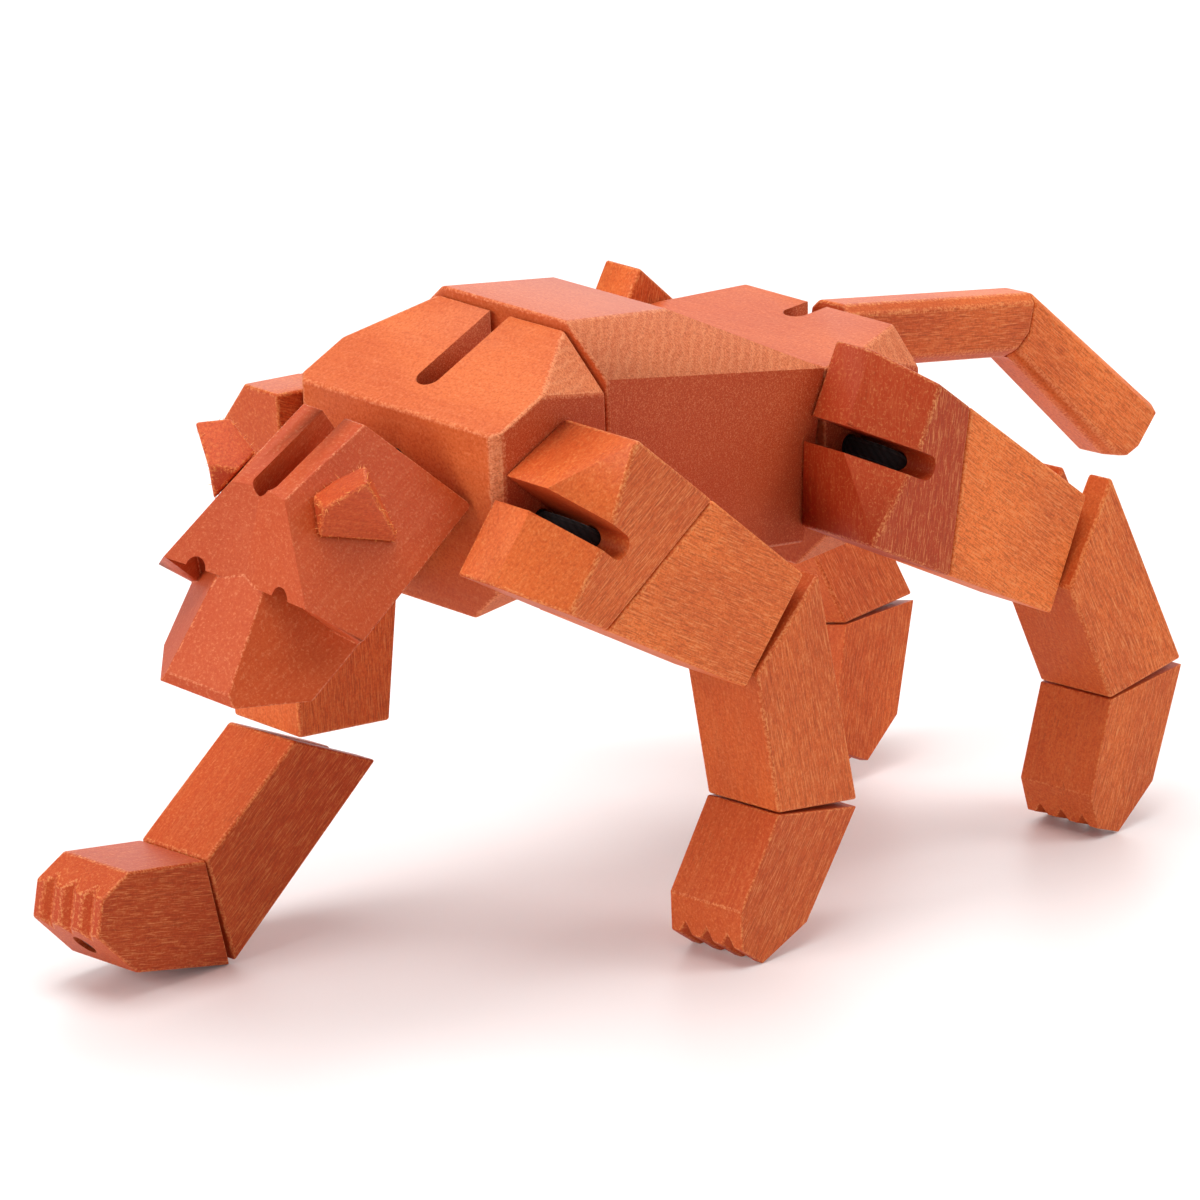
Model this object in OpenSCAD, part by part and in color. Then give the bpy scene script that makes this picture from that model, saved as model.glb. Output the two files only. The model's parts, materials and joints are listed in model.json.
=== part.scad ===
// Articulated wooden tiger: hardwood blocks strung on elastic cord, standing in a prowling pose

/* [Body] */
// Width of the torso, chest and hips
body_w = 51; // [44:1:58]
// Height of the torso's top front edge above the ground
back_h = 126; // [120:1:130]
// Length of the torso along its back
torso_len = 64; // [58:1:68]
// Height of the torso block
torso_h = 46; // [40:1:50]
// Length of the chest block
chest_len = 29; // [26:1:32]
// Height of the chest block at its rear face
chest_h = 47; // [42:1:50]
// Length of the hip block
hips_len = 28; // [25:1:30]
// Height of the hip block
hips_h = 42; // [38:1:46]
// Lean of the whole body towards its left side
body_roll = 2.6; // [0:0.2:3.2]

/* [Legs] */
// Thickness of every leg block
leg_w = 18; // [14:1:20]
// Length of a shoulder or haunch block along its long edge
root_len = 34; // [32:1:36]
// Length of an upper arm or thigh block along its short edge
arm_len = 35.5; // [32:0.5:38]
// Length of a shin along its front edge
shin_len = 29.5; // [27:0.5:33]
// Depth of a shin from front to back
shin_depth = 23; // [20:1:25]
// Height of a paw below its joint with the shin
paw_h = 29; // [26:1:32]

/* [Tail] */
// Width of both tail pieces
tail_w = 10; // [8:0.5:12]
// Length of the tail piece next to the hips
tail_base_len = 59; // [50:1:64]
// Length of the tail's end piece
tail_tip_len = 52; // [45:1:60]

/* [Cord] */
// Diameter of the elastic cord
cord_d = 3.6; // [3:0.1:4]
// Diameter of the cord holes
bore_d = 4.4; // [4.2:0.1:5]
// Width of the slots that the cord swings in
slot_w = 5; // [4.6:0.1:5.4]

/* [Fit] */
// Gap between neighbouring blocks
gap = 0.3; // [0.2:0.05:0.5]

/* [Hidden] */
wood = [0.82, 0.33, 0.15];
ear_wood = [0.88, 0.42, 0.20];
elastic = [0.08, 0.08, 0.09];
$fn = 48;
reach = 200;
eps = 0.02;
half_w = body_w / 2;

// How far the ground point under the body's middle lies from the torso's top front edge
stand_x = -4.6;
stand_y = 57.1;

// Pitch of each body block, front down is positive
torso_pitch = -6.2;
chest_pitch = 6.1;
hips_pitch = 4.5;
// Step from the torso's top down to the chest's top
chest_step = 1.6;
// The torso's flat back before it slopes down to the hips
back_len = 29;
back_half_front = 15.8;
back_half_rear = 14.5;
bevel_drop = 9;
rump_drop = 11.7;
chest_fall = 10;
chest_cut_len = 16.7;
chest_cut_drop = 10.2;
hips_flat_half = 19;
hips_cut_len = 20;
hips_cut_drop = 7.5;
under_cut = 7.5;
chest_slot_len = 22;
hips_slot_len = 9.5;
slot_depth = 26;

// The torso's top rear edge, which the hips hang from
torso_rear = [
    gap / 2 + torso_len * cos(torso_pitch) + rump_drop * sin(torso_pitch),
    back_h + torso_len * sin(torso_pitch) - rump_drop * cos(torso_pitch)
];

// Where the cord that carries each pair of legs crosses the body
front_pivot = [-15.2, 93.5];
hind_pivot = [71.2, 90.6];
right_hind_rise = 2.4;
// A swivelled leg stands off by this much, so that its corner clears the hips
swivel_out = 3.9;

// Leg poses: name, side, hind, beam angle, swivel, knee opening, knee slip, sideways step of the shin,
// and how much shorter the upper arm is cut
LEGS = [
    ["left_front", 1, false, -36.6, 0, 8.2, 2.25, 0.8, 2],
    ["right_front", -1, false, -92.6, 0, 17.8, 0.2, 1.6, 0],
    ["left_hind", 1, true, -24.4, 0, 9.3, 4.95, 2.4, 0],
    ["right_hind", -1, true, -28.5, 14, 10.5, 4.4, 0.4, 0]
];
function leg_name(leg) = leg[0];
function leg_side(leg) = leg[1];
function is_hind(leg) = leg[2];
function beam_angle(leg) = leg[3];
function swivel(leg) = leg[4];
function knee_open(leg) = leg[5];
function knee_slip(leg) = leg[6];
function shin_step(leg) = leg[7];
function arm_trim(leg) = [leg[8], 0];
function pivot(leg) = !is_hind(leg) ? front_pivot
    : hind_pivot + (leg_side(leg) < 0 ? [0, right_hind_rise] : [0, 0]);
function root_name(leg) = str(leg_name(leg), is_hind(leg) ? "_haunch" : "_shoulder");
function arm_name(leg) = str(leg_name(leg), is_hind(leg) ? "_thigh" : "_upper_arm");
function shin_name(leg) = str(leg_name(leg), "_shin");
function paw_name(leg) = str(leg_name(leg), "_paw");

BODY_NODES = [
    "torso", "chest", "hips", "head", "left_ear", "right_ear", "tail_base", "tail_tip",
    "neck_cord", "chest_cross_cord", "hips_cross_cord",
    "chest_spine_cord", "spine_cord", "hips_spine_cord", "tail_cord"
];

// Removes all that lies beyond the plane through three points, seen from a point that is kept
module cut_beyond(a, b, c, keep) {
    normal = cross(b - a, c - a);
    n = (keep - a) * normal > 0 ? -normal : normal;
    translate(a)
        rotate([0, acos(n[2] / norm(n)), atan2(n[1], n[0])])
            translate([-reach, -reach, 0])
                cube([2 * reach, 2 * reach, reach]);
}

module both_sides() {
    children();
    mirror([1, 0, 0])
        children();
}

// Extrudes a side view, drawn as forward and up, across a width centred on the middle
module side_profile(points, width) {
    translate([-width / 2, 0, 0])
        rotate([90, 0, 90])
            linear_extrude(height = width)
                polygon(points);
}

// Stands the part on the ground with its origin under the middle
module on_ground() {
    translate([-stand_x, -stand_y, 0])
        children();
}

// The leaning frame that the body and the upper leg blocks share
module in_body() {
    translate([0, 0, back_h - 2])
        rotate([0, body_roll, 0])
            translate([0, 0, 2 - back_h])
                children();
}

// A point of the leaning frame in the upright one
function lean(p) = let (z = p[2] - back_h + 2) [
    p[0] * cos(body_roll) + z * sin(body_roll),
    p[1],
    back_h - 2 - p[0] * sin(body_roll) + z * cos(body_roll)
];

// Torso
module in_torso() {
    translate([0, gap / 2, back_h])
        rotate([torso_pitch, 0, 0])
            children();
}

torso_lean = torso_h * tan(chest_pitch - torso_pitch);

module torso() {
    color(wood)
        in_torso()
            difference() {
                side_profile([
                    [0, 0], [back_len, 0], [torso_len, -rump_drop], [torso_len, -torso_h],
                    [torso_lean, -torso_h]
                ], body_w);
                both_sides()
                    cut_beyond(
                        [back_half_front, 0, 0],
                        [half_w, 0, -bevel_drop],
                        [back_half_rear, back_len, 0],
                        [0, 0, -bevel_drop]
                    );
                torso_bore(bore_d);
            }
}

// The spine's hole runs level with the middle of the chest's rear face
module torso_bore(d) {
    translate([0, -5, -spine_drop])
        rotate([-90, 0, 0])
            cylinder(d = d, h = torso_len + 10);
}
spine_drop = 21;

module spine_cord() {
    color(elastic)
        in_torso()
            intersection() {
                torso_bore(cord_d);
                side_profile([
                    [eps, 0], [torso_len, 0], [torso_len, -torso_h], [torso_lean + eps, -torso_h]
                ], body_w);
            }
}

// Chest, hung with its rear face against the torso
module in_chest() {
    translate([0, -gap / 2, back_h - chest_step])
        rotate([chest_pitch, 0, 0])
            children();
}

module chest() {
    fall = chest_fall / chest_len;
    color(wood)
        in_chest()
            difference() {
                side_profile([
                    [0, 0], [0, -chest_h], [-chest_len, -chest_h], [-chest_len, -chest_fall]
                ], body_w);
                both_sides() {
                    cut_beyond(
                        [back_half_front, 0, 0],
                        [half_w, -chest_cut_len, -chest_cut_len * fall],
                        [half_w, 0, -chest_cut_drop],
                        [0, 0, -chest_cut_drop]
                    );
                    under_bevel(-chest_h);
                    front_edge_bevel();
                }
                back_slot(0, chest_slot_len);
                cross_run(front_in_chest, front_in_chest, bore_d, 5);
                chest_bore(bore_d, 5);
            }
}

// Where the leg cord crosses, in the chest's own frame
function into(p, origin, pitch) = let (d = p - origin) [
    d[0] * cos(pitch) + d[1] * sin(pitch),
    d[1] * cos(pitch) - d[0] * sin(pitch)
];
front_in_chest = into(front_pivot, [-gap / 2, back_h - chest_step], chest_pitch);
hips_at = [torso_rear[0] + gap, torso_rear[1]];
hind_in_hips = into(hind_pivot, hips_at, hips_pitch);
right_hind_in_hips = into(hind_pivot + [0, right_hind_rise], hips_at, hips_pitch);

module under_bevel(z) {
    cut_beyond(
        [half_w - under_cut, 0, z],
        [half_w - under_cut, 1, z],
        [half_w, 0, z + under_cut],
        [0, 0, 0]
    );
}

module front_edge_bevel() {
    bevel = 1.8;
    cut_beyond(
        [half_w, bevel - chest_len, 0],
        [half_w - bevel, -chest_len, 0],
        [half_w, bevel - chest_len, 10],
        [0, 0, 0]
    );
}

// A slot through the top, open at the rear face, with a round front end
module back_slot(rear, length) {
    translate([0, rear - length + slot_w / 2, -slot_depth]) {
        cylinder(d = slot_w, h = slot_depth + 10);
        translate([-slot_w / 2, 0, 0])
            cube([slot_w, length, slot_depth + 10]);
    }
}

// A hole or cord straight across, from a point on the right side to one on the left
module cross_run(right, left, d, beyond) {
    across = [body_w, left[0] - right[0], left[1] - right[1]];
    translate([-half_w, right[0], right[1]])
        rotate([0, 0, atan2(across[1], across[0])])
            rotate([0, acos(across[2] / norm(across)), 0])
                translate([0, 0, -beyond])
                    cylinder(d = d, h = norm(across) + 2 * beyond);
}

// The neck and spine cord's hole or cord, from the front face to the rear one
neck_z = -20;
module chest_bore(d, beyond) {
    translate([0, -chest_len - beyond, neck_z])
        rotate([-90, 0, 0])
            cylinder(d = d, h = chest_len + 2 * beyond);
}

module chest_spine_cord() {
    color(elastic)
        in_chest()
            chest_bore(cord_d, -0.1);
}

module chest_cross_cord() {
    color(elastic)
        in_chest()
            cross_run(front_in_chest, front_in_chest, cord_d, -0.1);
}

// Hips, whose top front edge meets the torso's top rear edge
module in_hips() {
    translate([0, torso_rear[0] + gap, torso_rear[1]])
        rotate([hips_pitch, 0, 0])
            children();
}

module hips() {
    color(wood)
        in_hips()
            difference() {
                side_profile([
                    [0, 0], [hips_len, 0], [hips_len, -hips_h], [0, -hips_h]
                ], body_w);
                both_sides() {
                    cut_beyond(
                        [hips_flat_half, hips_len, 0],
                        [half_w, hips_len, -hips_cut_drop],
                        [half_w, hips_len - hips_cut_len, 0],
                        [0, 0, -hips_cut_drop]
                    );
                    under_bevel(-hips_h);
                }
                translate([0, hips_len + 10, 0])
                    back_slot(0, hips_slot_len + 10);
                cross_run(right_hind_in_hips, hind_in_hips, bore_d, 5);
                hips_bore(bore_d, 5);
            }
}

// The spine and tail cord's hole or cord, from the front face to the rear one
tail_bore_z = -7.6;
module hips_bore(d, beyond) {
    translate([0, -beyond, tail_bore_z])
        rotate([-90, 0, 0])
            cylinder(d = d, h = hips_len + 2 * beyond);
}

module hips_spine_cord() {
    color(elastic)
        in_hips()
            hips_bore(cord_d, -0.1);
}

module hips_cross_cord() {
    color(elastic)
        in_hips()
            cross_run(right_hind_in_hips, hind_in_hips, cord_d, -0.1);
}

// Tail
tail_h = 13;
tail_pitch = -7.7;
tail_tip_pitch = -37;
tail_top = [93.5, 109.6];
tail_bevel = 1.8;

module in_tail_base() {
    translate([0, tail_top[0], tail_top[1]])
        rotate([tail_pitch, 0, 0])
            children();
}

module in_tail_tip() {
    translate([0, tail_joint[0], tail_joint[1]])
        rotate([tail_tip_pitch, 0, 0])
            children();
}

// The joint between the tail pieces, at the base piece's top rear edge
tail_joint = [
    tail_top[0] + (tail_base_len + gap) * cos(tail_pitch),
    tail_top[1] + (tail_base_len + gap) * sin(tail_pitch)
];

// Bevels along both sides of an edge through a point of the side view, at an angle
module long_bevels(p, angle) {
    both_sides()
        translate([tail_w / 2, p[0], p[1]])
            rotate([angle, 0, 0])
                rotate([0, 45, 0])
                    cube([tail_bevel * sqrt(2), 2 * reach, tail_bevel * sqrt(2)], center = true);
}

tail_turn = tail_pitch - tail_tip_pitch;
tail_tip_heel = [4, -tail_h - 1];
tail_tip_belly = [tail_tip_len - 8.4, -tail_h - 3];
tail_tip_fall = atan2(tail_tip_heel[1] - tail_tip_belly[1], tail_tip_belly[0] - tail_tip_heel[0]);

module tail_base() {
    color(wood)
        in_tail_base()
            difference() {
                side_profile([
                    [0, 0], [tail_base_len, 0], [tail_base_len - 1, -8], [tail_base_len - 6, -tail_h],
                    [0, -tail_h]
                ], tail_w);
                long_bevels([0, 0], 0);
                long_bevels([0, -tail_h], 0);
                translate([0, -5, -tail_h / 2])
                    rotate([-90, 0, 0])
                        cylinder(d = bore_d, h = tail_base_len + 10);
            }
}

module tail_cord() {
    color(elastic)
        in_tail_base()
            translate([0, 0.6, -tail_h / 2])
                rotate([-90, 0, 0])
                    cylinder(d = cord_d, h = tail_base_len - 2.5);
}

module tail_tip() {
    turn = tail_turn;
    function turned(p) = [p[0] * cos(turn) - p[1] * sin(turn), p[0] * sin(turn) + p[1] * cos(turn)];
    color(wood)
        in_tail_tip()
            difference() {
                side_profile([
                    [0, 0], turned([-1, -8]), turned([-6, -tail_h]), tail_tip_heel, tail_tip_belly,
                    [tail_tip_len - 2.7, -13.2], [tail_tip_len - 1, -10.5], [tail_tip_len, -1.5],
                    [tail_tip_len - 1, 0]
                ], tail_w);
                long_bevels([0, 0], 0);
                long_bevels(tail_tip_heel, -tail_tip_fall);
                translate([0, -8, -tail_h / 2])
                    rotate([-90, 0, 0])
                        cylinder(d = bore_d, h = 24);
            }
}

// Head: a six-sided bar with a bevelled nose above a narrower, wedge-shaped muzzle
head_at = [0.2, -44, 113.4];
head_turn = [24.9, 7.9, 8.2];
brow_half_back = 6.9;
brow_half_front = 6;
brow_len = 23.2;
cheek_back = [21.6, 6.9, -18.2];
cheek_front = [22.7, -29.2, -21.4];
nose_corner = [16.2, -34.1, -13.2];
nose_mid = [0, -32, -14.9];
chin_corner = [9.3, -31.3, -40.4];
chin_z = chin_corner[2];
brow_front_y = -26.5;

// Half of the muzzle: the front face's upper and lower corners, the short tip below and the jaw's edge
muzzle_top = [5.1, -32.5, -14.6];
muzzle_low = [7, -48.5, -25.6];
muzzle_tip = [5.5, -49.3, -27.7];
jaw_edge = [16.1, -39.35, -31.2];

// Wood left between the undercut and the nose's corner
cheek_web = 0.8;

// A point well inside the head's left half, the height of the cheek's rim and the two plain directions
core = [5, -24, -22];
rim = [0, 0, 1.5];
across = [10, 0, 0];
along = [0, 10, 0];

module in_head() {
    translate(head_at)
        rotate([0, 0, head_turn[2]])
            rotate([0, head_turn[1], 0])
                rotate([head_turn[0], 0, 0])
                    children();
}

module head_half() {
    difference() {
        union() {
            brow_half();
            muzzle_half();
        }
        // Lower side facet and the jaw's underside
        cut_beyond(cheek_back - rim, cheek_front - rim, chin_corner, core);
        cut_beyond(muzzle_tip, jaw_edge, muzzle_tip + across, core);
    }
}

module brow_half() {
    difference() {
        translate([0, -60, chin_z])
            cube([30, 80, -chin_z]);
        // Upper side facet
        cut_beyond([brow_half_back, 0, 0], cheek_front, cheek_back, core);
        // Back face, sloped above and drawn in below the cheeks
        cut_beyond([0, 0, 0], [0, 6.9, -18.2], across, core);
        cut_beyond([0, 6.9, -18.2], [0, -0.6, chin_z], [10, 6.9, -18.2], core);
        // Nose facet, and the slanted face under the edge from its corner to the cheek's
        cut_beyond([brow_half_front, -brow_len, 0], nose_corner, nose_mid, core);
        cut_beyond(nose_corner, cheek_front, nose_corner + across, core);
        // Undercut below the nose, back to a face that looks forward
        intersection() {
            cut_beyond(nose_mid, nose_corner, nose_mid + along, [0, 0, 20]);
            translate([-10, -60, -60])
                cube([10 + nose_corner[0] - cheek_web, 60 + brow_front_y, 60]);
        }
    }
}

module muzzle_half() {
    difference() {
        translate([0, -60, chin_z])
            cube([30, 40, -chin_z]);
        cut_beyond(muzzle_top, muzzle_low, muzzle_top + across, core);
        cut_beyond(muzzle_low, muzzle_tip, muzzle_low + across, core);
        cut_beyond(muzzle_top, muzzle_low, jaw_edge, core);
    }
}

module head_slot() {
    translate([0, -20.5, -14]) {
        cylinder(d = slot_w, h = 20);
        translate([-slot_w / 2, 0, 0])
            cube([slot_w, 40, 20]);
    }
}

nostril_d = 4;
module nostril() {
    translate([9.5, brow_front_y, -14.2])
        rotate([90, 0, 0])
            cylinder(d = nostril_d, h = 20);
}

module head() {
    color(wood)
        in_head()
            difference() {
                both_sides()
                    head_half();
                head_slot();
                both_sides()
                    nostril();
            }
}

// Ears: leaning wedges glued to the upper side facets, each point forward, down and off the cheek
ear_base = [[18.5, 2.4, 0], [22.8, 8.4, 0], [9.9, 20, 0], [12.5, 3.2, 0]];
ear_bend = [21, 4.6, 4.5];
ear_tip = [15.2, 5.3, 12];
ear_top = [10.3, 3.7, 7.6];
cheek_origin = [brow_half_back, 0, 0];
cheek_normal = let (n = cross(cheek_back - cheek_origin, cheek_front - cheek_origin))
    n / norm(n) * sign(n[0]);
cheek_forward = let (f = [0, -1, 0] + cheek_normal[1] * cheek_normal) f / norm(f);
cheek_down = cross(cheek_normal, cheek_forward);
function off_cheek(p) = cheek_origin
    + p[0] * cheek_forward + p[1] * cheek_down + (p[2] + gap) * cheek_normal;

module ear() {
    polyhedron(
        [for (p = concat(ear_base, [ear_bend, ear_tip, ear_top])) off_cheek(p)],
        [
            [3, 2, 1], [3, 1, 0], [0, 1, 4], [0, 4, 5], [0, 5, 6],
            [1, 2, 4], [4, 2, 5], [6, 5, 2], [6, 2, 3], [0, 6, 3]
        ]
    );
}

module left_ear() {
    color(ear_wood)
        in_head()
            ear();
}

module right_ear() {
    color(ear_wood)
        in_head()
            mirror([1, 0, 0])
                ear();
}

module neck_cord() {
    color(elastic)
        in_chest()
            translate([0, -chest_len - neck_gap, neck_z])
                rotate([-90, 0, 0])
                    cylinder(d = cord_d, h = neck_gap - 0.1);
}
neck_gap = 2.4;

// Shoulder or haunch and upper arm or thigh, drawn along the beam's short edge
seam = [-10.6, -31.65];
arm_end = [arm_len - 0.9, -24.2];
root_end = [-root_len, -35.5];
root_crease = [-root_len + 0.5, -15];
root_knee = [-26, 0];
slot_y = -17.8;
slot_end = 1.5;
pivot_beam = [-19.5, slot_y];
front_left_w = 8.9;
front_cut_x = -22;
front_cut_skew = 14.6;
bore_fall = atan2(arm_end[1] / 2 - slot_y, arm_len - pivot_beam[0]);
seam_turn = atan2(seam[0], -seam[1]);
front_cut_slope = atan2(leg_w - front_left_w, root_len + front_cut_x);

// Beam frame of a leg: first axis along the beam, second across it, third outwards
module in_beam(leg) {
    in_body()
        mirror([leg_side(leg) < 0 ? 1 : 0, 0, 0])
            translate([half_w + gap, pivot(leg)[0], pivot(leg)[1]])
                rotate([beam_angle(leg), 0, 0])
                    rotate([90, 0, 90])
                        mirror([0, is_hind(leg) ? 1 : 0, 0])
                            translate([-pivot_beam[0], -pivot_beam[1], 0])
                                children();
}

// Turns the outer part of a leg about the seam's normal through the cord's hole
module in_swivel(leg) {
    s = seam_cross;
    out = swivel(leg) == 0 ? 0 : swivel_out;
    translate([s[0], s[1], leg_w / 2 + out])
        rotate([0, 0, seam_turn])
            rotate([leg_side(leg) * swivel(leg), 0, 0])
                rotate([0, 0, -seam_turn])
                    translate([-s[0], -s[1], -leg_w / 2])
                        children();
}

// Where the cord's hole meets the seam
seam_slope = seam[0] / seam[1];
seam_cross = let (t = tan(bore_fall), y = (slot_y - t * pivot_beam[0]) / (1 - t * seam_slope))
    [y * seam_slope, y];

module beam_bore(from, length, d) {
    translate([pivot_beam[0], pivot_beam[1], leg_w / 2])
        rotate([0, 0, bore_fall])
            translate([from, 0, 0])
                rotate([0, 90, 0])
                    cylinder(d = d, h = length);
}

module root_slot() {
    translate([pivot_beam[0], slot_y, -1]) {
        translate([slot_end, 0, 0])
            cylinder(d = slot_w, h = leg_w + 2);
        translate([-30, -slot_w / 2, 0])
            cube([30 + slot_end, slot_w, leg_w + 2]);
    }
}

// Slants the outer front corner of one prong
module prong_cut(skew, above) {
    translate([front_cut_x, slot_y, leg_w])
        rotate([0, 0, skew])
            rotate([0, -front_cut_slope, 0])
                translate([-40, above ? 0 : -40, 0])
                    cube([40, 40, 30]);
}

module root_block(leg) {
    color(wood)
        in_beam(leg)
            difference() {
                linear_extrude(height = leg_w)
                    polygon([
                        [-gap / 2, 0], root_knee, root_crease, [-root_len, slot_y], root_end,
                        [seam[0] - gap / 2, seam[1]]
                    ]);
                root_slot();
                prong_cut(0, false);
                prong_cut(front_cut_skew, true);
                beam_bore(0, 40, bore_d);
            }
}

module arm_block(leg) {
    color(wood)
        in_beam(leg)
            in_swivel(leg)
                difference() {
                    linear_extrude(height = leg_w)
                        polygon([
                            [gap / 2, 0], [seam[0] + gap / 2, seam[1]], arm_end - arm_trim(leg),
                            [arm_len, 0] - arm_trim(leg)
                        ]);
                    beam_bore(0, 80, bore_d);
                }
}

// The cord leaves the body on the hinge line, bends and runs along the beam to the seam
cord_bend = 4;
bend_steps = 6;
cord_sides = 12;
function root_cord_run() = concat(
    [[0, 0]],
    [for (k = [0:bend_steps]) let (a = 90 * k / bend_steps)
        [cord_bend * (1 - cos(a)), leg_w / 2 - cord_bend * (1 - sin(a))]],
    [[root_cord_len, leg_w / 2]]
);

// A round tube along points of one plane, with flat ends
module swept_tube(run, d) {
    last = len(run) - 1;
    function heading(k) = let (t = run[min(k + 1, last)] - run[max(k - 1, 0)]) t / norm(t);
    rings = [for (k = [0:last], j = [0:cord_sides - 1])
        let (h = heading(k), a = 360 * j / cord_sides, r = d / 2)
        [run[k][0] - h[1] * r * cos(a), r * sin(a), run[k][1] + h[0] * r * cos(a)]];
    sides = [for (k = [0:last - 1], j = [0:cord_sides - 1])
        let (p = k * cord_sides + j, q = k * cord_sides + (j + 1) % cord_sides)
        each [[p, q, q + cord_sides], [p, q + cord_sides, p + cord_sides]]];
    first_end = [for (j = [1:cord_sides - 2]) [0, j + 1, j]];
    base = last * cord_sides;
    last_end = [for (j = [1:cord_sides - 2]) [base, base + j, base + j + 1]];
    polyhedron(rings, concat(sides, first_end, last_end));
}

module root_cord(leg) {
    color(elastic)
        in_beam(leg)
            translate([pivot_beam[0], pivot_beam[1], 0])
                rotate([0, 0, bore_fall])
                    swept_tube(root_cord_run(), cord_d);
}
root_cord_len = seam_cross[0] - pivot_beam[0] - 1.2;

module arm_cord(leg) {
    start = (seam_cross[0] - pivot_beam[0]) / cos(bore_fall) + 1.2;
    color(elastic)
        in_beam(leg)
            in_swivel(leg)
                beam_bore(start, arm_len - arm_trim(leg)[0] - pivot_beam[0] - start - 1.2, cord_d);
}

// Shin and paw, drawn upright from the front bottom corner of the shin
shin_lean = 20;
shin_top = 30;
shin_front_top = shin_len * [-sin(shin_lean), cos(shin_lean)];
shin_peak = shin_front_top + 23.6 * [cos(shin_lean + shin_top), sin(shin_lean + shin_top)];
fork_w = 6.2;
fork_level = 30.5;
mitre_gap = gap / 2;

// The elbow or knee: the arm's front lower corner, where the shin's top leans on it
function beam_point(leg, p) = let (
    q = [p[0] - pivot_beam[0], is_hind(leg) ? pivot_beam[1] - p[1] : p[1] - pivot_beam[1]],
    a = beam_angle(leg)
) pivot(leg) + [q[0] * cos(a) - q[1] * sin(a), q[0] * sin(a) + q[1] * cos(a)];
function knee_corner(leg) = beam_point(leg, (is_hind(leg) ? [arm_len, 0] : arm_end) - arm_trim(leg));
function knee_top(leg) = beam_point(leg, (is_hind(leg) ? arm_end : [arm_len, 0]) - arm_trim(leg));
function face_angle(leg) = let (d = knee_top(leg) - knee_corner(leg)) atan2(d[1], d[0]);
function shin_angle(leg) = face_angle(leg) - knee_open(leg) - shin_lean - shin_top;
knee_gap = 0.8;
function knee_line(leg) = knee_corner(leg)
    + knee_slip(leg) * [cos(face_angle(leg)), sin(face_angle(leg))]
    + knee_gap * [sin(face_angle(leg)), -cos(face_angle(leg))];

// Upright frame of a shin: first axis back, second up, third outwards
module in_shin(leg) {
    at = lean([leg_side(leg) * (half_w + gap), knee_line(leg)[0], knee_line(leg)[1]]);
    translate([at[0] + shin_step(leg) * leg_side(leg), at[1], at[2]])
        mirror([leg_side(leg) < 0 ? 1 : 0, 0, 0])
            rotate([shin_angle(leg), 0, 0])
                rotate([90, 0, 90])
                    translate([-shin_front_top[0], -shin_front_top[1], 0])
                        children();
}

// A hind leg that is swivelled at its seam carries its shin round with it
module in_lower(leg) {
    if (swivel(leg) == 0)
        in_shin(leg)
            children();
    else
        in_beam(leg)
            in_swivel(leg)
                mirror([0, is_hind(leg) ? 1 : 0, 0])
                    translate(knee_in_beam(leg))
                        rotate([0, 0, shin_angle(leg) - beam_angle(leg)])
                            translate([-shin_front_top[0], -shin_front_top[1], 0])
                                children();
}
function knee_in_beam(leg) = let (d = knee_line(leg) - pivot(leg), a = beam_angle(leg)) [
    d[0] * cos(a) + d[1] * sin(a) + pivot_beam[0],
    d[1] * cos(a) - d[0] * sin(a) - pivot_beam[1],
    0
];

module shin_bore(d, length) {
    translate([shin_depth / 2, 0, leg_w / 2])
        rotate([0, 0, shin_lean])
            rotate([-90, 0, 0])
                translate([0, 0, -5])
                    cylinder(d = d, h = length + 5);
}

module shin_block(leg) {
    color(wood)
        in_lower(leg)
            difference() {
                linear_extrude(height = leg_w)
                    polygon([
                        [0, mitre_gap], [shin_depth, mitre_gap], shin_peak, shin_front_top
                    ]);
                // Fork open at the slanted top and the back, behind a whole front face
                translate([-20, fork_level, (leg_w - fork_w) / 2])
                    cube([70, 40, fork_w]);
                shin_bore(bore_d, 60);
            }
}

module shin_cord(leg) {
    color(elastic)
        in_lower(leg)
            intersection() {
                shin_bore(cord_d, 60);
                linear_extrude(height = leg_w)
                    polygon([
                        [-20, mitre_gap + eps], [shin_depth + 20, mitre_gap + eps],
                        shin_peak - [0, 5], shin_front_top - [0, 5]
                    ]);
            }
}

// The paw leans on its front joint edge, open a little at the heel
paw_open = 2.5;
module in_paw(leg) {
    in_lower(leg)
        rotate([0, 0, -paw_open])
            children();
}

paw_toe = [-7.65, -paw_h + 10.7];
paw_tip = [-5.9, -paw_h + 3.1];
paw_foot = [0.7, -paw_h];
paw_heel = [12.3, -paw_h + 7];
claw_pitch = 5.3;
claw_wide = 3.1;
claw_deep = 1.9;

module paw_block(leg) {
    color(wood)
        in_paw(leg)
            difference() {
                linear_extrude(height = leg_w)
                    polygon([
                        [0, -mitre_gap], paw_toe, paw_tip, paw_foot, paw_heel, [shin_depth, -mitre_gap]
                    ]);
                for (k = [-1:1])
                    claw_groove(leg_w / 2 + claw_pitch * k);
                paw_bore(bore_d, 40);
            }
}

// A three-sided groove along the whole front of the foot facet
module claw_groove(w) {
    run = paw_foot - paw_tip;
    slope = claw_wide / 2 / claw_deep;
    translate([paw_tip[0], paw_tip[1], w])
        rotate([0, 0, atan2(run[1], run[0])])
            rotate([90, 0, 90])
                translate([0, 0, -10])
                    linear_extrude(height = norm(run) + 20)
                        polygon([
                            [claw_deep, 0], [-1, slope * (claw_deep + 1)], [-1, -slope * (claw_deep + 1)]
                        ]);
}

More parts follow.
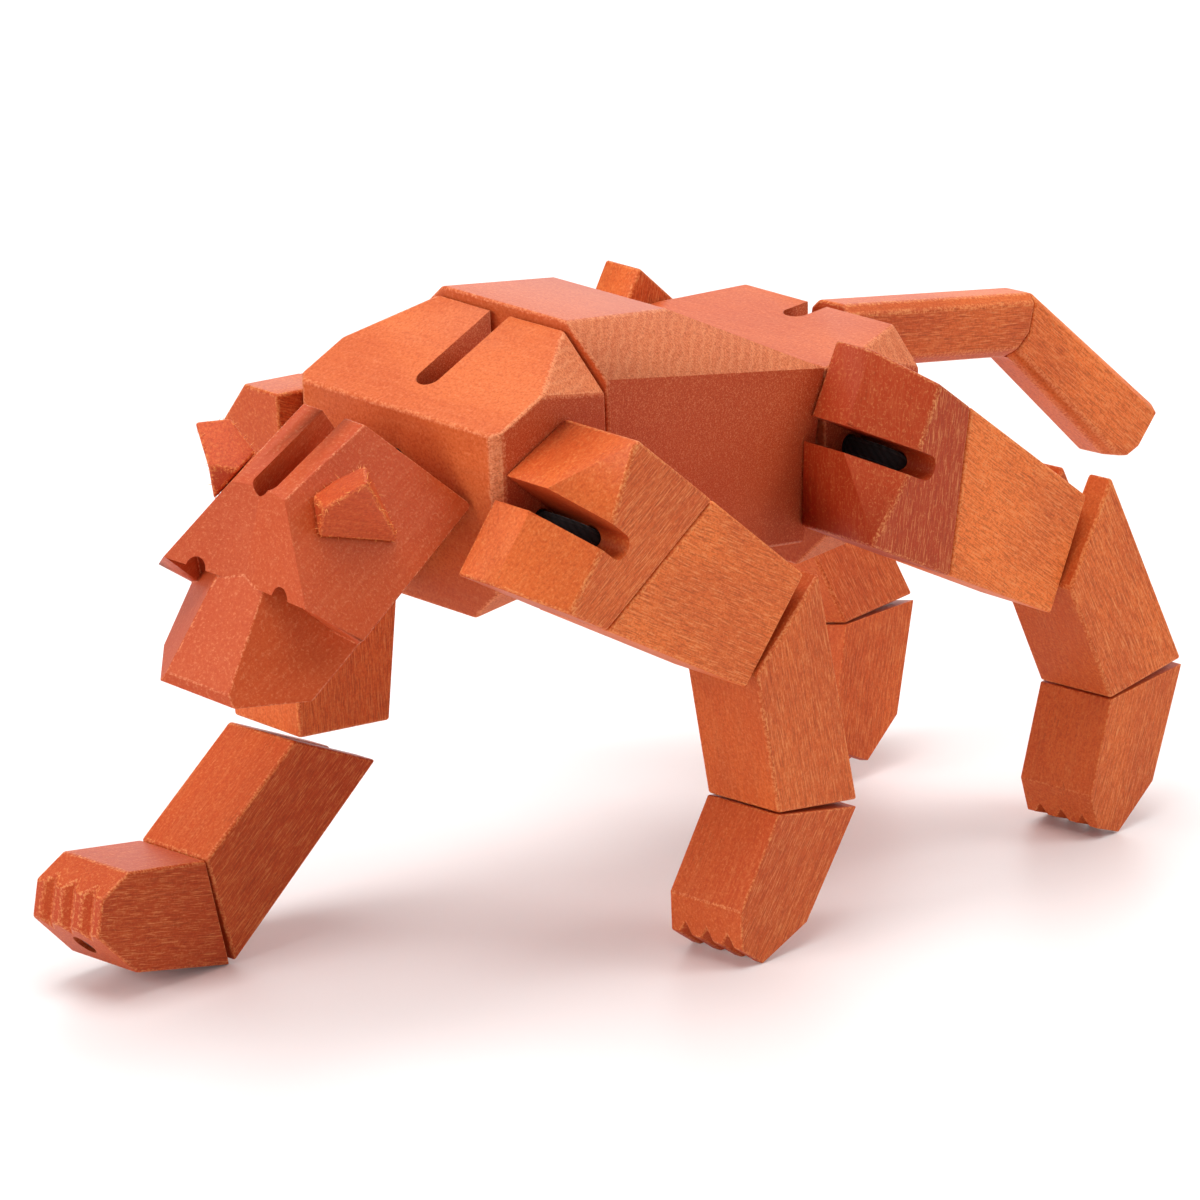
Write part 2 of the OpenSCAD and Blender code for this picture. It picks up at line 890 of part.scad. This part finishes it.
// The cord comes down the shin and out of the sole behind the foot
paw_exit = (paw_foot + paw_heel) / 2;
module paw_bore(d, length) {
    run = [shin_depth / 2, 0] - paw_exit;
    translate([paw_exit[0], paw_exit[1], leg_w / 2])
        rotate([0, 0, atan2(-run[0], run[1])])
            rotate([-90, 0, 0])
                translate([0, 0, -8])
                    cylinder(d = d, h = length);
}

module paw_cord(leg) {
    color(elastic)
        in_paw(leg)
            intersection() {
                paw_bore(cord_d, 40);
                linear_extrude(height = leg_w)
                    polygon([
                        [-20, -mitre_gap - eps], [paw_tip[0] - 20, paw_foot[1]], paw_foot + [0, 1],
                        paw_heel + [0, 1], [shin_depth + 20, -mitre_gap - eps]
                    ]);
            }
}

on_ground() in_body() torso();
on_ground() in_body() chest();
on_ground() in_body() hips();
on_ground() head();
on_ground() left_ear();
on_ground() right_ear();
on_ground() tail_base();
on_ground() tail_tip();
on_ground() in_body() neck_cord();
on_ground() in_body() chest_cross_cord();
on_ground() in_body() hips_cross_cord();
on_ground() in_body() chest_spine_cord();
on_ground() in_body() spine_cord();
on_ground() in_body() hips_spine_cord();
on_ground() tail_cord();
for (leg = LEGS) {
    on_ground() root_block(leg);
    on_ground() arm_block(leg);
    on_ground() shin_block(leg);
    on_ground() paw_block(leg);
    on_ground() root_cord(leg);
    on_ground() arm_cord(leg);
    on_ground() shin_cord(leg);
    on_ground() paw_cord(leg);
}
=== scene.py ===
"""Stained beech tiger on black elastic cord: its wood, cords and pale edges, worn and with painted
highlights, lit on a pale floor.
"""

import json
import math

import bmesh
import bpy
from mathutils import Matrix, Vector


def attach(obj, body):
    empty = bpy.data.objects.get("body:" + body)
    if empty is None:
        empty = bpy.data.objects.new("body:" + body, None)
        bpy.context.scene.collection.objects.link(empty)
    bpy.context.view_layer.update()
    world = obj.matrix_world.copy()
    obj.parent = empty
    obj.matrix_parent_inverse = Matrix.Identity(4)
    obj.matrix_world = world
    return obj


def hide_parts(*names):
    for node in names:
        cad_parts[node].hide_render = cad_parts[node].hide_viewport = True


MM = 0.001
IMAGE_SIDE = 1200

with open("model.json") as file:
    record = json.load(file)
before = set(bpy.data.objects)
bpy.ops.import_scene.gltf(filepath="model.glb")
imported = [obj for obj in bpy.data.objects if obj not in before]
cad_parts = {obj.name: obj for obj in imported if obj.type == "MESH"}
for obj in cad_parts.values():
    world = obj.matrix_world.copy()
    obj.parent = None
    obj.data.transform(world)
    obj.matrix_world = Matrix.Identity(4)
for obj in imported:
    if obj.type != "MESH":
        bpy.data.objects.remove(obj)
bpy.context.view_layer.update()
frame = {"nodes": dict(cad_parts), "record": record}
scene = bpy.context.scene

# Camera, as the photograph was taken: from the front left, a little above the figure
CAMERA_AT = Vector((754.1, -848.3, 393.0)) * MM
CAMERA_AIM = Vector((18.0, -44.8, 69.1)) * MM
CAMERA_ROLL = math.radians(0.2)
FOCAL_PIXELS = 6095
SENSOR_MM = 36


def place_camera():
    data = bpy.data.cameras.new("camera")
    data.sensor_width = SENSOR_MM
    data.lens = FOCAL_PIXELS / IMAGE_SIDE * SENSOR_MM
    data.clip_start = 0.05
    data.clip_end = 20
    camera = bpy.data.objects.new("camera", data)
    scene.collection.objects.link(camera)
    turn = (CAMERA_AIM - CAMERA_AT).to_track_quat("-Z", "Y").to_matrix().to_4x4()
    camera.matrix_world = (
        Matrix.Translation(CAMERA_AT) @ turn @ Matrix.Rotation(CAMERA_ROLL, 4, "Z")
    )
    scene.camera = camera


place_camera()


# Colours and nodes
def linear(hex_colour):
    """An sRGB hex colour as linear red, green, blue and alpha."""
    channels = [int(hex_colour[i : i + 2], 16) / 255 for i in (1, 3, 5)]
    return [c / 12.92 if c <= 0.04045 else ((c + 0.055) / 1.055) ** 2.4 for c in channels] + [1]


def add(tree, kind, inputs=None, **settings):
    """Adds a node. Each of its inputs is a value, or another node's socket to link."""
    node = tree.nodes.new(kind)
    for key, value in settings.items():
        setattr(node, key, value)
    for key, value in (inputs or {}).items():
        if isinstance(value, bpy.types.NodeSocket):
            tree.links.new(value, node.inputs[key])
        else:
            node.inputs[key].default_value = value
    return node


def new_material(name):
    material = bpy.data.materials.new(name)
    material.use_nodes = True
    material.node_tree.nodes.clear()
    return material


# A Mix node that mixes colours: its inputs for the factor and the two colours, and its output
FACTOR, FIRST, SECOND, MIXED = 0, 6, 7, 2


# Beech, sawn and sanded, then soaked in orange-red stain. Its fibres show light and dark along the grain
# and as dots on end grain, with a few short dark rays between them. Real fibres are some 0.02 mm thick, so
# the fibres and the grit are drawn coarser than they are, to show from a step away.
RING_MM = 3.2
# How much slower the rings change along the grain than across it
RING_STRAIGHTNESS = 30
RAY_ACROSS_MM = 0.7
RAY_LONG_MM = 3.0
RAY_PATCH_ACROSS_MM = 6
RAY_PATCH_LONG_MM = 14
FIBRE_ACROSS_MM = 0.26
FIBRE_ALONG_MM = 3.4
STREAK_ACROSS_MM = 1.1
STREAK_LONG_MM = 24
BLOTCH_MM = 16
GRIT_MM = 0.55
SAW_MARK_MM = 1.9
RELIEF_MM = 0.22
# Blender's Wave texture repeats 20 / (2 pi) times in a unit of its vector
WAVES_IN_UNIT = 20 / (2 * math.pi)

# Each pattern's name, texture, size across and along the grain, inputs, settings and output
WOOD_PATTERNS = [
    # Growth rings round a pith beside the block
    (
        "rings",
        "ShaderNodeTexWave",
        (RING_MM * WAVES_IN_UNIT, RING_MM * WAVES_IN_UNIT * RING_STRAIGHTNESS),
        {"Distortion": 3.0, "Detail": 2.0, "Detail Scale": 0.8},
        {"wave_type": "RINGS", "rings_direction": "Z", "wave_profile": "SAW"},
        "Fac",
    ),
    # Oblique marks of the saw
    (
        "saw_mark",
        "ShaderNodeTexWave",
        (SAW_MARK_MM * WAVES_IN_UNIT, SAW_MARK_MM * WAVES_IN_UNIT),
        {"Distortion": 5.0, "Detail": 3.0, "Detail Scale": 1.5},
        {"bands_direction": "DIAGONAL"},
        "Fac",
    ),
    ("rays", "ShaderNodeTexVoronoi", (RAY_ACROSS_MM, RAY_LONG_MM), {"Randomness": 1.0}, {}, "Distance"),
    # Where the rays are larger
    (
        "ray_share",
        "ShaderNodeTexNoise",
        (RAY_PATCH_ACROSS_MM, RAY_PATCH_LONG_MM),
        {"Detail": 2, "Roughness": 0.5},
        {},
        "Fac",
    ),
    (
        "blotch",
        "ShaderNodeTexNoise",
        (BLOTCH_MM, BLOTCH_MM * 2),
        {"Detail": 3, "Roughness": 0.5},
        {},
        "Fac",
    ),
    (
        "streak",
        "ShaderNodeTexNoise",
        (STREAK_ACROSS_MM, STREAK_LONG_MM),
        {"Detail": 3, "Roughness": 0.5},
        {},
        "Fac",
    ),
    (
        "fibres",
        "ShaderNodeTexNoise",
        (FIBRE_ACROSS_MM, FIBRE_ALONG_MM),
        {"Detail": 3, "Roughness": 0.6},
        {},
        "Fac",
    ),
    ("grit", "ShaderNodeTexNoise", (GRIT_MM, GRIT_MM), {"Detail": 2, "Roughness": 0.7}, {}, "Fac"),
]


def wood_patterns(tree):
    """The output of each pattern of the wood, and of each attribute that a block's mesh carries."""
    found = {}
    for name in ("stain_and_painted_shade", "end_grain", "eased_edge", "sawn", "side"):
        found[name] = add(tree, "ShaderNodeAttribute", attribute_name=name).outputs["Fac"]
    grain = add(tree, "ShaderNodeAttribute", attribute_name="grain_mm").outputs["Vector"]
    for name, kind, (across, along), inputs, settings, output in WOOD_PATTERNS:
        vector = add(
            tree,
            "ShaderNodeVectorMath",
            {0: grain, 1: (1 / across, 1 / across, 1 / along)},
            operation="MULTIPLY",
        ).outputs[0]
        texture = add(tree, kind, {"Vector": vector, "Scale": 1.0, **inputs}, **settings)
        found[name] = texture.outputs[output]
    return found


def stained_beech(name, body, deep, pale, ray, fibre_show, end_show, ray_show):
    """Colours of the wood, its darker parts and painted shade, bare fibres and worn edges with painted glints
    and edge highlights, and rays, then how strongly fibres and rays show.
    """
    material = new_material(name)
    tree = material.node_tree
    wood = wood_patterns(tree)

    # Each goes smoothly from one strength to another over a stretch of a pattern's values. Fibres show most
    # on the blocks' sides, on end grain and where a saw has torn the face.
    for key, pattern, low, high, weakest, strongest in [
        ("along_or_end", "end_grain", 0.2, 0.9, fibre_show, end_show),
        ("on_sides", "side", 0, 1, 0.3, 1),
        ("rings_show", "sawn", 0, 1, 0.08, 0.3),
        ("ray_size", "ray_share", 0.45, 0.7, 0.06, 0.3),
    ]:
        wood[key] = add(
            tree,
            "ShaderNodeMapRange",
            {
                "Value": wood[pattern],
                "From Min": low,
                "From Max": high,
                "To Min": weakest,
                "To Max": strongest,
            },
            interpolation_type="SMOOTHSTEP",
        ).outputs[0]
    for key, operation, first, second in [
        ("sanded", "MULTIPLY", "along_or_end", "on_sides"),
        ("torn", "MULTIPLY", "sawn", 0.9),
        ("shown", "MAXIMUM", "sanded", "torn"),
        ("in_ray", "SUBTRACT", "ray_size", "rays"),
        ("in_ring", "MULTIPLY", "rings", "rings_show"),
        ("coarse", "MULTIPLY", "grit", 0.6),
        ("fine", "MULTIPLY", "fibres", "shown"),
        ("relief", "ADD", "coarse", "fine"),
    ]:
        wood[key] = add(
            tree,
            "ShaderNodeMath",
            {0: wood[first], 1: wood.get(second, second)},
            operation=operation,
        ).outputs[0]

    # Layers over the body colour: a pattern, the stretch of its values over which the layer comes in, its
    # strength below and above that stretch, what else limits it, and its colour
    everywhere = 1
    layers = [
        (wood["blotch"], 0.3, 0.7, 0.42, 0, everywhere, deep),
        # Each block's darkness: partly its stain, partly painted shade where the block lies in shadow
        (everywhere, 0, 1, 0, 1, wood["stain_and_painted_shade"], deep),
        (wood["streak"], 0.45, 0.75, 0, 0.07, everywhere, pale),
        (everywhere, 0, 1, 0, 1, wood["in_ring"], deep),
        (wood["end_grain"], 0.6, 1, 0, 0.75, everywhere, deep),
        (wood["sawn"], 0, 1, 0, 0.3, everywhere, pale),
        (wood["grit"], 0.5, 0.36, 0, 0.4, everywhere, deep),
        # Pale specks in the grit: painted glints of light
        (wood["grit"], 0.54, 0.7, 0, 0.22, everywhere, pale),
        (wood["saw_mark"], 0.55, 0.95, 0, 0.22, wood["sawn"], pale),
        (wood["fibres"], 0.5, 0.34, 0, 0.5, wood["shown"], ray),
        (wood["fibres"], 0.52, 0.68, 0, 0.5, wood["shown"], pale),
        (wood["in_ray"], -0.04, 0.1, 0, ray_show, everywhere, ray),
        # Sanded edges have lost some stain, in places more, and the pale line along them is partly a painted
        # highlight
        (wood["grit"], 0.42, 0.64, 0, 0.36, wood["eased_edge"], pale),
    ]
    colour = linear(body)
    for pattern, low, high, weakest, strongest, limit, paint in layers:
        strength = add(
            tree,
            "ShaderNodeMapRange",
            {
                "Value": pattern,
                "From Min": low,
                "From Max": high,
                "To Min": weakest,
                "To Max": strongest,
            },
            interpolation_type="SMOOTHSTEP",
        ).outputs[0]
        share = add(tree, "ShaderNodeMath", {0: strength, 1: limit}, operation="MULTIPLY").outputs[0]
        colour = add(
            tree,
            "ShaderNodeMix",
            {FACTOR: share, FIRST: colour, SECOND: linear(paint)},
            data_type="RGBA",
        ).outputs[MIXED]

    bump = add(
        tree,
        "ShaderNodeBump",
        {"Height": wood["relief"], "Strength": 0.6, "Distance": RELIEF_MM * MM},
    )
    # Sanded and stained, half matt, and rougher where fibres stand up
    roughness = add(
        tree,
        "ShaderNodeMapRange",
        {"Value": wood["shown"], "To Min": 0.48, "To Max": 0.65},
        interpolation_type="SMOOTHSTEP",
    )
    shader = add(
        tree,
        "ShaderNodeBsdfPrincipled",
        {
            "Base Color": colour,
            "Roughness": roughness.outputs[0],
            "Normal": bump.outputs["Normal"],
            "IOR": 1.45,
            "Specular IOR Level": 0.3,
        },
    )
    add(tree, "ShaderNodeOutputMaterial", {"Surface": shader.outputs[0]})
    return material


# Torn wood fibres, which take up less stain than the wood that they stand on
def torn_fibre():
    material = new_material("torn_beech_fibre")
    tree = material.node_tree
    shader = add(
        tree, "ShaderNodeBsdfPrincipled", {"Base Color": linear("#EC9650"), "Roughness": 0.7}
    )
    add(tree, "ShaderNodeOutputMaterial", {"Surface": shader.outputs[0]})
    return material


# Elastic cord: rubber strands in a woven black cotton cover, matt, with a fine diagonal weave
WEAVE_MM = 0.9
WEAVE_DEEP_MM = 0.15


def woven_cover():
    material = new_material("elastic_cord_woven_cotton")
    tree = material.node_tree
    where = add(tree, "ShaderNodeTexCoord").outputs["Object"]
    weave = add(
        tree,
        "ShaderNodeTexWave",
        {"Vector": where, "Scale": 1 / (WEAVE_MM * MM * WAVES_IN_UNIT), "Distortion": 1.0},
        bands_direction="DIAGONAL",
    ).outputs["Fac"]
    colour = add(
        tree,
        "ShaderNodeMix",
        {FACTOR: weave, FIRST: linear("#08080A"), SECOND: linear("#1D1C20")},
        data_type="RGBA",
    ).outputs[MIXED]
    bump = add(
        tree,
        "ShaderNodeBump",
        {"Height": weave, "Strength": 0.6, "Distance": WEAVE_DEEP_MM * MM},
    )
    shader = add(
        tree,
        "ShaderNodeBsdfPrincipled",
        {
            "Base Color": colour,
            "Roughness": 0.85,
            "Normal": bump.outputs["Normal"],
            "Sheen Weight": 0.2,
        },
    )
    add(tree, "ShaderNodeOutputMaterial", {"Surface": shader.outputs[0]})
    return material


LEG_BEECH = stained_beech(
    "stained_beech_legs", "#FC8239", "#B43E18", "#F6AC6A", "#8E3414", 0.85, 0.3, 0.3
)
BODY_BEECH = stained_beech(
    "stained_beech_body", "#DE7039", "#B53E15", "#F2A070", "#8A3216", 0.3, 0.7, 0.06
)
EAR_BEECH = stained_beech(
    "stained_beech_sawn", "#E05C2A", "#A83818", "#F09A54", "#8A3214", 0.8, 1.0, 0.1
)
FIBRE = torn_fibre()
CORD_COVER = woven_cover()


# Wood blocks
EDGE_EASE = 0.65 * MM
EDGE_STEPS = 3
# Shortest edge that may end at a rounded one
EDGE_ROOM = 1.4 * EDGE_EASE
SHARP = math.radians(22)
# Corners this close are one, and faces that meet at less than this angle are one flat face
DOUBLES_MM = 0.003
FLAT = math.radians(0.6)
# Each block comes from another part of the tree: another turn, distance from the pith and height
GOLDEN_TURN = math.radians(137.5)
NEAREST_PITH_MM = 45
PITH_STEP_MM = 7
PITH_STEPS = 5
UP_TREE_MM = 210
ACROSS_GRAIN = {"torso", "chest", "hips"}
# Towards the pith, where the photograph shows how the rings lie
PITH_WAY = {"torso": Vector((0, 0.25, -0.97))}
BODY_BLOCKS = {"torso", "chest", "hips", "head"}
# How far the normals of the body blocks' rough sawn bevels turn towards the side
SAWN_SLANT = (0.3, 0.92)
# How far the normals of the blocks' sides turn towards the side
SIDE_SLANT = 0.94
# How much darker than the rest a block is painted, from 0 to 1: partly the stain it has taken, partly painted
# shade where it lies in shadow, most on the left hind haunch, the head and the right front shin and paw
PLAIN_STAIN_AND_PAINTED_SHADE = 0.45
STAIN_AND_PAINTED_SHADE = {
    "head": 0.72,
    "torso": 0.36,
    "chest": 0,
    "hips": 0.25,
    "tail": 0,
    "tail_tip": 0,
    "left_ear": 0.25,
    "right_ear": 0.25,
    "left_front_shoulder": 0.52,
    "left_front_upper_arm": 0.1,
    "left_front_paw": 0.63,
    "left_hind_haunch": 1,
    "left_hind_thigh": 0,
    "left_hind_shin": 0.3,
    "right_front_shin": 0.68,
    "right_front_paw": 0.8,
}
EARS = {"left_ear", "right_ear"}


def merged_copy(node):
    """A bmesh of a CAD node's mesh with its doubled corners merged and its flat faces whole."""
    bm = bmesh.new()
    bm.from_mesh(frame["nodes"][node].data)
    bmesh.ops.remove_doubles(bm, verts=bm.verts, dist=DOUBLES_MM * MM)
    bmesh.ops.dissolve_limit(bm, angle_limit=FLAT, verts=bm.verts, edges=bm.edges)
    bmesh.ops.recalc_face_normals(bm, faces=bm.faces)
    return bm


def grain_axes(bm, node, index):
    """The block's grain direction, and the direction from its middle towards the tree's pith."""
    side = max(bm.faces, key=lambda f: abs(f.normal.x) if node in ACROSS_GRAIN else f.calc_area())
    edge = max(side.edges, key=lambda e: e.calc_length())
    along = (edge.verts[1].co - edge.verts[0].co).normalized()
    grain = side.normal.copy() if node in ACROSS_GRAIN else along
    level = along if node in ACROSS_GRAIN else side.normal.copy()
    pith = Matrix.Rotation(GOLDEN_TURN * index, 3, grain) @ level
    pith = PITH_WAY.get(node, pith)
    return grain, (pith - pith.dot(grain) * grain).normalized()


def ease_edges(bm):
    """Rounds the sharp edges that have room. The new faces are marked in the eased_edge layer."""
    worn_and_highlit_edge = bm.faces.layers.float.new("eased_edge")
    tight = {e for e in bm.edges if e.calc_length() < EDGE_ROOM}
    sharp = [
        e
        for e in bm.edges
        if len(e.link_faces) == 2
        and e.calc_face_angle() > SHARP
        and not any(near in tight for vert in e.verts for near in vert.link_edges)
    ]
    for edge in bm.edges:
        edge.smooth = not (len(edge.link_faces) == 2 and edge.calc_face_angle() > SHARP)
    for edge in sharp:
        edge.smooth = True
    made = bmesh.ops.bevel(
        bm,
        geom=sharp,
        offset=EDGE_EASE,
        offset_type="OFFSET",
        segments=EDGE_STEPS,
        profile=0.5,
        affect="EDGES",
        clamp_overlap=True,
    )
    for face in made["faces"]:
        face[worn_and_highlit_edge] = 1


def write_grain(mesh, grain, pith, index, grain_across, stain_and_painted_shade):
    """Writes each corner's place in the tree, in millimetres from the pith, and the block's own darkness: its
    stain and painted shade.
    """
    middle = sum((v.co for v in mesh.vertices), Vector()) / len(mesh.vertices)
    aside = grain.cross(pith)
    from_pith = NEAREST_PITH_MM + PITH_STEP_MM * (index % PITH_STEPS)
    up_tree = UP_TREE_MM * index
    place = mesh.attributes.new("grain_mm", "FLOAT_VECTOR", "POINT")
    for vertex, entry in zip(mesh.vertices, place.data):
        local = (vertex.co - middle) / MM
        entry.vector = (local.dot(pith) + from_pith, local.dot(aside), local.dot(grain) + up_tree)
    end = mesh.attributes.new("end_grain", "FLOAT", "FACE")
    for face, entry in zip(mesh.polygons, end.data):
        entry.value = abs(face.normal.dot(grain)) ** 2
    sawn = mesh.attributes.new("sawn", "FLOAT", "FACE")
    for face, entry in zip(mesh.polygons, sawn.data):
        entry.value = grain_across and SAWN_SLANT[0] < abs(face.normal.x) < SAWN_SLANT[1]
    side = mesh.attributes.new("side", "FLOAT", "FACE")
    for face, entry in zip(mesh.polygons, side.data):
        entry.value = abs(face.normal.x) > SIDE_SLANT
    # The block's darkness, partly stain and partly painted shade
    stain_and_shade_layer = mesh.attributes.new("stain_and_painted_shade", "FLOAT", "POINT")
    for entry in stain_and_shade_layer.data:
        entry.value = stain_and_painted_shade


def make_plain(piece):
    """Puts the result of a piece's modifiers into a mesh of its own and takes the modifiers off."""
    shaped = bpy.data.meshes.new_from_object(
        piece.evaluated_get(bpy.context.evaluated_depsgraph_get())
    )
    piece.modifiers.clear()
    piece.data = shaped


def shade_by_area(piece):
    """Flat faces stay flat and eased edges turn smoothly between them."""
    for face in piece.data.polygons:
        face.use_smooth = True
    weighting = piece.modifiers.new("weighting", "WEIGHTED_NORMAL")
    weighting.weight = 100
    weighting.keep_sharp = True
    make_plain(piece)


def dress_block(node, body, index):
    bm = merged_copy(node)
    grain, pith = grain_axes(bm, node, index)
    ease_edges(bm)
    mesh = bpy.data.meshes.new(node + "_block")
    bm.to_mesh(mesh)
    bm.free()
    write_grain(mesh, grain, pith, index, node in ACROSS_GRAIN, STAIN_AND_PAINTED_SHADE.get(node, PLAIN_STAIN_AND_PAINTED_SHADE))
    mesh.materials.append(
        EAR_BEECH if node in EARS else BODY_BEECH if node in BODY_BLOCKS else LEG_BEECH
    )
    piece = bpy.data.objects.new(node + "_block", mesh)
    scene.collection.objects.link(piece)
    shade_by_area(piece)
    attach(piece, body)
    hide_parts(node)
    return piece


# Torn fibres left by the saw along an ear's edges
FIBRES_IN_CM2 = 80
FIBRE_LONG_MM = 0.9
FIBRE_THICK_MM = 0.13
FIBRE_SIDES = 5
FIBRE_SEED = 7
# Least and greatest turn of a fibre about two level axes and about its own length, in radians
LEAST_TURN = (-0.9, -0.9, 0)
GREATEST_TURN = (0.9, 0.9, 6.3)
# Smallest and largest size of a fibre against the plain one
FIBRE_SMALLEST = (0.6, 0.6, 0.3)
FIBRE_LARGEST = (1.3, 1.3, 1.6)


def fibre_group():
    """Thin cones scattered over the faces that the eased_edge attribute marks, with named inputs."""
    group = bpy.data.node_groups.new("torn_fibres", "GeometryNodeTree")
    face = group.interface
    face.new_socket("Geometry", in_out="INPUT", socket_type="NodeSocketGeometry")
    for name in ("Density", "Length", "Thickness"):
        face.new_socket(name, in_out="INPUT", socket_type="NodeSocketFloat")
    face.new_socket("Seed", in_out="INPUT", socket_type="NodeSocketInt")
    face.new_socket("Material", in_out="INPUT", socket_type="NodeSocketMaterial")
    face.new_socket("Geometry", in_out="OUTPUT", socket_type="NodeSocketGeometry")
    given = add(group, "NodeGroupInput").outputs
    edge = add(group, "GeometryNodeInputNamedAttribute", {"Name": "eased_edge"}, data_type="FLOAT")
    density, radius = (
        add(group, "ShaderNodeMath", {0: first, 1: second}, operation="MULTIPLY").outputs[0]
        for first, second in (
            (edge.outputs["Attribute"], given["Density"]),
            (given["Thickness"], 0.5),
        )
    )
    spots = add(
        group,
        "GeometryNodeDistributePointsOnFaces",
        {"Mesh": given["Geometry"], "Density": density, "Seed": given["Seed"]},
    ).outputs
    lean = add(
        group,
        "FunctionNodeRandomValue",
        {"Min": LEAST_TURN, "Max": GREATEST_TURN, "Seed": given["Seed"]},
        data_type="FLOAT_VECTOR",
    )
    turned = add(
        group,
        "FunctionNodeRotateEuler",
        {"Rotation": spots["Rotation"], "Rotate By": lean.outputs["Value"]},
        rotation_type="EULER",
        space="LOCAL",
    )
    size = add(
        group,
        "FunctionNodeRandomValue",
        {"Min": FIBRE_SMALLEST, "Max": FIBRE_LARGEST, "Seed": given["Seed"]},
        data_type="FLOAT_VECTOR",
    )
    cone = add(
        group,
        "GeometryNodeMeshCone",
        {
            "Vertices": FIBRE_SIDES,
            "Radius Top": 0.0,
            "Radius Bottom": radius,
            "Depth": given["Length"],
        },
    )
    placed = add(
        group,
        "GeometryNodeInstanceOnPoints",
        {
            "Points": spots["Points"],
            "Instance": cone.outputs["Mesh"],
            "Rotation": turned.outputs[0],
            "Scale": size.outputs["Value"],
        },
    )
    plain_mesh = add(group, "GeometryNodeRealizeInstances", {"Geometry": placed.outputs[0]})
    coloured = add(
        group,
        "GeometryNodeSetMaterial",
        {"Geometry": plain_mesh.outputs[0], "Material": given["Material"]},
    )
    add(group, "NodeGroupOutput", {"Geometry": coloured.outputs[0]})
    return group


def input_name(group, name):
    return next(
        item.identifier
        for item in group.interface.items_tree
        if item.name == name and item.in_out == "INPUT"
    )


def fray_ear(ear, body, group):
    piece = bpy.data.objects.new(ear.name.replace("_block", "_fibres"), ear.data.copy())
    scene.collection.objects.link(piece)
    growth = piece.modifiers.new("fibres", "NODES")
    growth.node_group = group
    growth[input_name(group, "Density")] = FIBRES_IN_CM2 / (10 * MM) ** 2
    growth[input_name(group, "Length")] = FIBRE_LONG_MM * MM
    growth[input_name(group, "Thickness")] = FIBRE_THICK_MM * MM
    growth[input_name(group, "Seed")] = FIBRE_SEED
    growth[input_name(group, "Material")] = FIBRE
    make_plain(piece)
    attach(piece, body)


def dress_nodes():
    bodies = frame["record"]["behaviour"]["bodies"]
    index = 0
    fibres = fibre_group()
    for body, nodes in bodies.items():
        for node in nodes:
            index += 1
            if node.endswith("_cord"):
                cover = frame["nodes"][node]
                cover.data.materials.clear()
                cover.data.materials.append(CORD_COVER)
            else:
                piece = dress_block(node, body, index)
                if node in EARS:
                    fray_ear(piece, body, fibres)


dress_nodes()


# Studio: white sweep, soft light
FLOOR_SIDE = 6
# White that the floor gives off towards the camera alone, and the room's own light on the figure
FLOOR_LIFT = 0.04
ROOM_LIGHT = 0.27


def lay_floor():
    mesh = bpy.data.meshes.new("floor")
    half = FLOOR_SIDE / 2
    corners = [(-half, -half, 0), (half, -half, 0), (half, half, 0), (-half, half, 0)]
    mesh.from_pydata(corners, [], [(0, 1, 2, 3)])
    floor = bpy.data.objects.new("floor", mesh)
    scene.collection.objects.link(floor)
    material = new_material("white_paper_sweep")
    tree = material.node_tree
    paper = add(
        tree,
        "ShaderNodeBsdfPrincipled",
        {"Base Color": linear("#F1ECEB"), "Roughness": 0.45, "Specular IOR Level": 0.35},
    )
    lift = add(
        tree,
        "ShaderNodeMapRange",
        {"Value": add(tree, "ShaderNodeLightPath").outputs["Is Camera Ray"], "To Max": FLOOR_LIFT},
    )
    glow = add(
        tree, "ShaderNodeEmission", {"Color": linear("#FFFFFF"), "Strength": lift.outputs[0]}
    )
    both = add(tree, "ShaderNodeAddShader", {0: paper.outputs[0], 1: glow.outputs[0]})
    add(tree, "ShaderNodeOutputMaterial", {"Surface": both.outputs[0]})
    mesh.materials.append(material)


def light_room():
    world = bpy.data.worlds.new("studio")
    scene.world = world
    world.use_nodes = True
    tree = world.node_tree
    tree.nodes.clear()
    strength = add(
        tree,
        "ShaderNodeMapRange",
        {
            "Value": add(tree, "ShaderNodeLightPath").outputs["Is Camera Ray"],
            "To Min": ROOM_LIGHT,
            "To Max": 1.0,
        },
    )
    back = add(
        tree, "ShaderNodeBackground", {"Color": linear("#FFFFFF"), "Strength": strength.outputs[0]}
    )
    add(tree, "ShaderNodeOutputWorld", {"Surface": back.outputs[0]})


# Middle of the figure, which the softboxes face
LIT_POINT = Vector((0, 0, 0.06))
# Softboxes: name, place, side in metres, power in watts
SOFTBOXES = [
    ("overhead_softbox", Vector((0.0, -0.2, 1.9)), 1.6, 32),
    ("front_softbox", Vector((-0.6, -2.2, 0.9)), 1.2, 28),
    ("right_softbox", Vector((1.6, 1.5, 1.5)), 1.2, 19),
    ("rear_softbox", Vector((-1.3, 1.5, 0.5)), 1.8, 17),
]


def hang_softboxes():
    for name, place, side, power in SOFTBOXES:
        data = bpy.data.lights.new(name, "AREA")
        data.size = side
        data.energy = power
        lamp = bpy.data.objects.new(name, data)
        scene.collection.objects.link(lamp)
        turn = (LIT_POINT - place).to_track_quat("-Z", "Y").to_matrix().to_4x4()
        lamp.matrix_world = Matrix.Translation(place) @ turn


lay_floor()
light_room()
hang_softboxes()
scene.view_settings.view_transform = "Standard"
